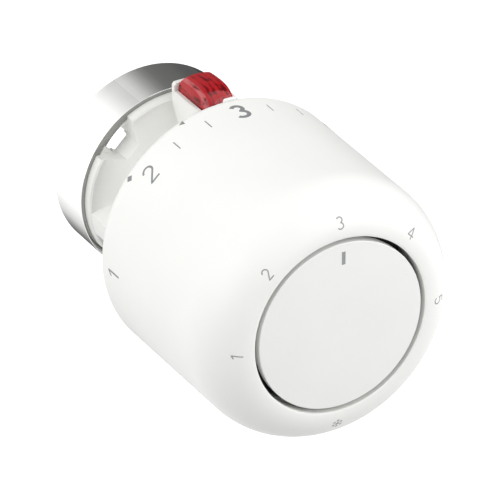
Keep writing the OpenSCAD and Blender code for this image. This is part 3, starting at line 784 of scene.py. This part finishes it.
def wrap_on_shoulder(bm, angle, radius, lean=0):
    """Bends a mark onto the knob's shoulder, its top outwards or leaning by some degrees."""
    bmesh.ops.rotate(
        bm, cent=(0, 0, 0), matrix=Matrix.Rotation(math.radians(lean), 3, "Z"), verts=bm.verts
    )
    middle = math.acos((radius - shoulder_foot) / shoulder_radial)
    walk = 8
    for v in bm.verts:
        x, y, lift = v.co
        t = middle
        for _ in range(walk):
            speed = math.hypot(shoulder_radial * math.sin(t), shoulder_axial * math.cos(t))
            t -= y / walk / speed
        out = Vector((shoulder_axial * math.cos(t), shoulder_radial * math.sin(t))).normalized()
        r = shoulder_foot + shoulder_radial * math.cos(t) + out.x * lift
        a = knob_front - shoulder_axial + shoulder_axial * math.sin(t) + out.y * lift
        turn = math.radians(angle) - x / radius
        v.co = (r * math.cos(turn) * MM, -a * MM, r * math.sin(turn) * MM)
    return bm


def ink(name, deep, pale):
    """Matt print that takes up a little of the grain under it."""
    made, feed = material(name)
    place = feed.add("ShaderNodeTexCoord", take="Object")
    cover = noise(feed, place, 0.25, detail=4)
    surface(
        feed,
        {
            "Base Color": cover.between(0.3, 0.7).tint(deep, pale),
            "Roughness": 0.5 + 0.2 * (cover - 0.5),
            "Normal": relief(feed, cover, 0.004),
        },
    )
    return made


dark_ink = ink("dark_ink", (0.21, 0.215, 0.22), (0.26, 0.265, 0.27))
side_marks = bmesh.new()
for figure, angle, height, pen, forward in (
    ("3", 89, 4.1, 0.8, 33.6),
    ("2", 135, 3.75, 0.42, 33.8),
    ("1", 181.5, 3.6, 0.4, 33.5),
    ("4", 44, 3.75, 0.42, 33.8),
    ("tick", 103.8, 2.5, 0.22, 33.7),
    ("tick", 119.4, 2.5, 0.22, 33.7),
    ("tick", 75, 2.5, 0.22, 33.7),
    ("tick", 60, 2.5, 0.22, 33.7),
):
    joined(side_marks, wrap_on_side(pen_marks(figure, height, pen), angle, forward))
joined(side_marks, wrap_on_side(patch_marks(3, 0.65, 90), 111, 29.7))
joined(side_marks, wrap_on_side(patch_marks(4, 0.7, 0), 142, 30.0))
side_numbers = piece(side_marks, "side_numbers", dark_ink)
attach(side_numbers, "knob")

pale_ink = ink("pale_ink", (0.27, 0.275, 0.28), (0.33, 0.335, 0.34))
front_marks = bmesh.new()
for figure, angle, height, pen, radius, lean in (
    ("1", 182.2, 2.15, 0.24, 20.2, -10),
    ("2", 135.6, 2.05, 0.24, 20.0, 0),
    ("3", 89.8, 2.15, 0.24, 20.0, 0),
    ("4", 44, 2.3, 0.24, 20.1, 0),
    ("5", -3, 2.3, 0.24, 20.3, 0),
    ("frost", 269.5, 2.1, 0.14, 20.0, 0),
):
    joined(front_marks, wrap_on_shoulder(pen_marks(figure, height, pen), angle, radius, lean))
front_numbers = piece(front_marks, "front_numbers", pale_ink)
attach(front_numbers, "knob")


# ---------------------------------------------------------------- Front disc
# The still white disc in the knob's mouth, snapped into the guide tube by its
# skirt. A glossier moulding than the knob, with a rolled rim and one printed bar
# that the small numbers are read against.

disc_r, disc_front, disc_thick = 16.15, 69.28, 1.95
skirt_outer, skirt_inner, skirt_rear = 14.05, 12.7, 62.65
disc_mesh = turned(
    [
        (0, disc_front, 0),
        (disc_r, disc_front, 0.15),
        (disc_r, disc_front - disc_thick, 0.1),
        (skirt_outer, disc_front - disc_thick, 0),
        (skirt_outer, skirt_rear, 0.2),
        (skirt_inner, skirt_rear, 0.2),
        (skirt_inner, disc_front - disc_thick, 0),
        (0, disc_front - disc_thick, 0),
    ]
)
disc_paint = moulded_plastic(
    "cap_plastic", (0.862, 0.866, 0.846), (0.892, 0.896, 0.876), 0.3, 0.3, 0.0015, crown_mm=0.8
)
front_disc = piece(disc_mesh, "front_disc", disc_paint, sharp_angle=30, weighted=True)
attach(front_disc, "base")
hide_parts("front_cap")

bar_w, bar_h, bar_right, bar_up, bar_thick, bar_proud = 0.72, 2.5, 0.5, 13.25, 0.04, 0.0195
bar_middle = disc_front + bar_proud - bar_thick / 2
bar = bmesh.new()
bmesh.ops.create_cube(bar, size=1)
bmesh.ops.scale(bar, vec=(bar_w * MM, bar_thick * MM, bar_h * MM), verts=bar.verts)
bmesh.ops.translate(
    bar, vec=(bar_right * MM, -bar_middle * MM, bar_up * MM), verts=bar.verts
)
disc_bar = piece(bar, "disc_bar", pale_ink)
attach(disc_bar, "base")


# ---------------------------------------------------------------- Setting pointer
# The white tab behind the knob's rear rim that the large numbers are read against:
# a small glossy moulding pushed into the button's housing, its edges rounded.

pointer_mesh = merged_copy("setting_pointer")
break_edges(pointer_mesh, 0.18, 40, segments=3)
pointer_paint = moulded_plastic(
    "pointer_plastic", (0.90, 0.90, 0.89), (0.93, 0.93, 0.92), 0.28, 0.3, 0.001
)
pointer_tab = piece(pointer_mesh, "pointer_tab", pointer_paint, weighted=True)
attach(pointer_tab, "base")
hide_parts("setting_pointer")


# ---------------------------------------------------------------- Inner mouldings
# Grey glass-filled plastic: the fixed guide tube, the thread sleeve in the knob,
# the sliding cup with its followers and the ring that closes it. The plunger and
# the button's arm are white acetal, and the two limit pins are blue.


def dress(nodes, paint):
    """Gives inner CAD nodes a material and leaves their meshes as they are."""
    for node in nodes:
        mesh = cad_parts[node].data
        mesh.materials.clear()
        mesh.materials.append(paint)


dress(
    ("guide_tube", "thread_sleeve", "sensor_carrier", "spring_retainer"),
    moulded_plastic(
        "glass_filled_grey", (0.045, 0.047, 0.05), (0.075, 0.078, 0.083), 0.5, 0.2, 0.01
    ),
)
dress(
    ("plunger", "release_wedge"),
    moulded_plastic("white_acetal", (0.74, 0.74, 0.71), (0.80, 0.80, 0.77), 0.34, 0.3, 0.003),
)
dress(
    ("limit_pins",),
    moulded_plastic("blue_pin", (0.05, 0.12, 0.38), (0.08, 0.17, 0.48), 0.4, 0.2, 0.004),
)


# ---------------------------------------------------------------- Springs and rod
# Drawn spring steel with fine die marks: the clip that grips the valve's neck, the
# push rod and two of the coils. The open ring that keeps the knob on is blackened.

spring_steel = buffed_metal(
    "spring_steel", (0.50, 0.51, 0.53), (0.62, 0.63, 0.65), 0.2, 0.15, 0.003
)
dress(("clamp_spring", "release_spring", "overload_spring", "push_rod"), spring_steel)
dress(
    ("retaining_ring",),
    buffed_metal("blackened_steel", (0.02, 0.02, 0.022), (0.04, 0.04, 0.043), 0.45, 0.15, 0.003),
)


# ---------------------------------------------------------------- Return spring
# The coil round the plunger, of the same drawn steel. One end rests in the base and
# the other on the sensor's cup. Here it is one still mesh, fixed in place.

return_coil = piece(merged_copy("return_spring"), "return_coil", spring_steel, sharp_angle=40)
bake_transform(return_coil)
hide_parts("return_spring")


# ---------------------------------------------------------------- Liquid sensor
# A drawn aluminium can with its crimped end plate and the washer behind it, a
# hydroformed bronze bellows inside, and the pinched filling stub at the front.

dress(
    ("sensor_can", "can_end_plate", "spring_plate"),
    buffed_metal("drawn_aluminium", (0.66, 0.67, 0.69), (0.78, 0.79, 0.80), 0.22, 0.3, 0.003),
)
dress(
    ("bellows", "filling_tube"),
    buffed_metal("formed_bronze", (0.55, 0.40, 0.22), (0.72, 0.54, 0.32), 0.25, 0.25, 0.003),
)
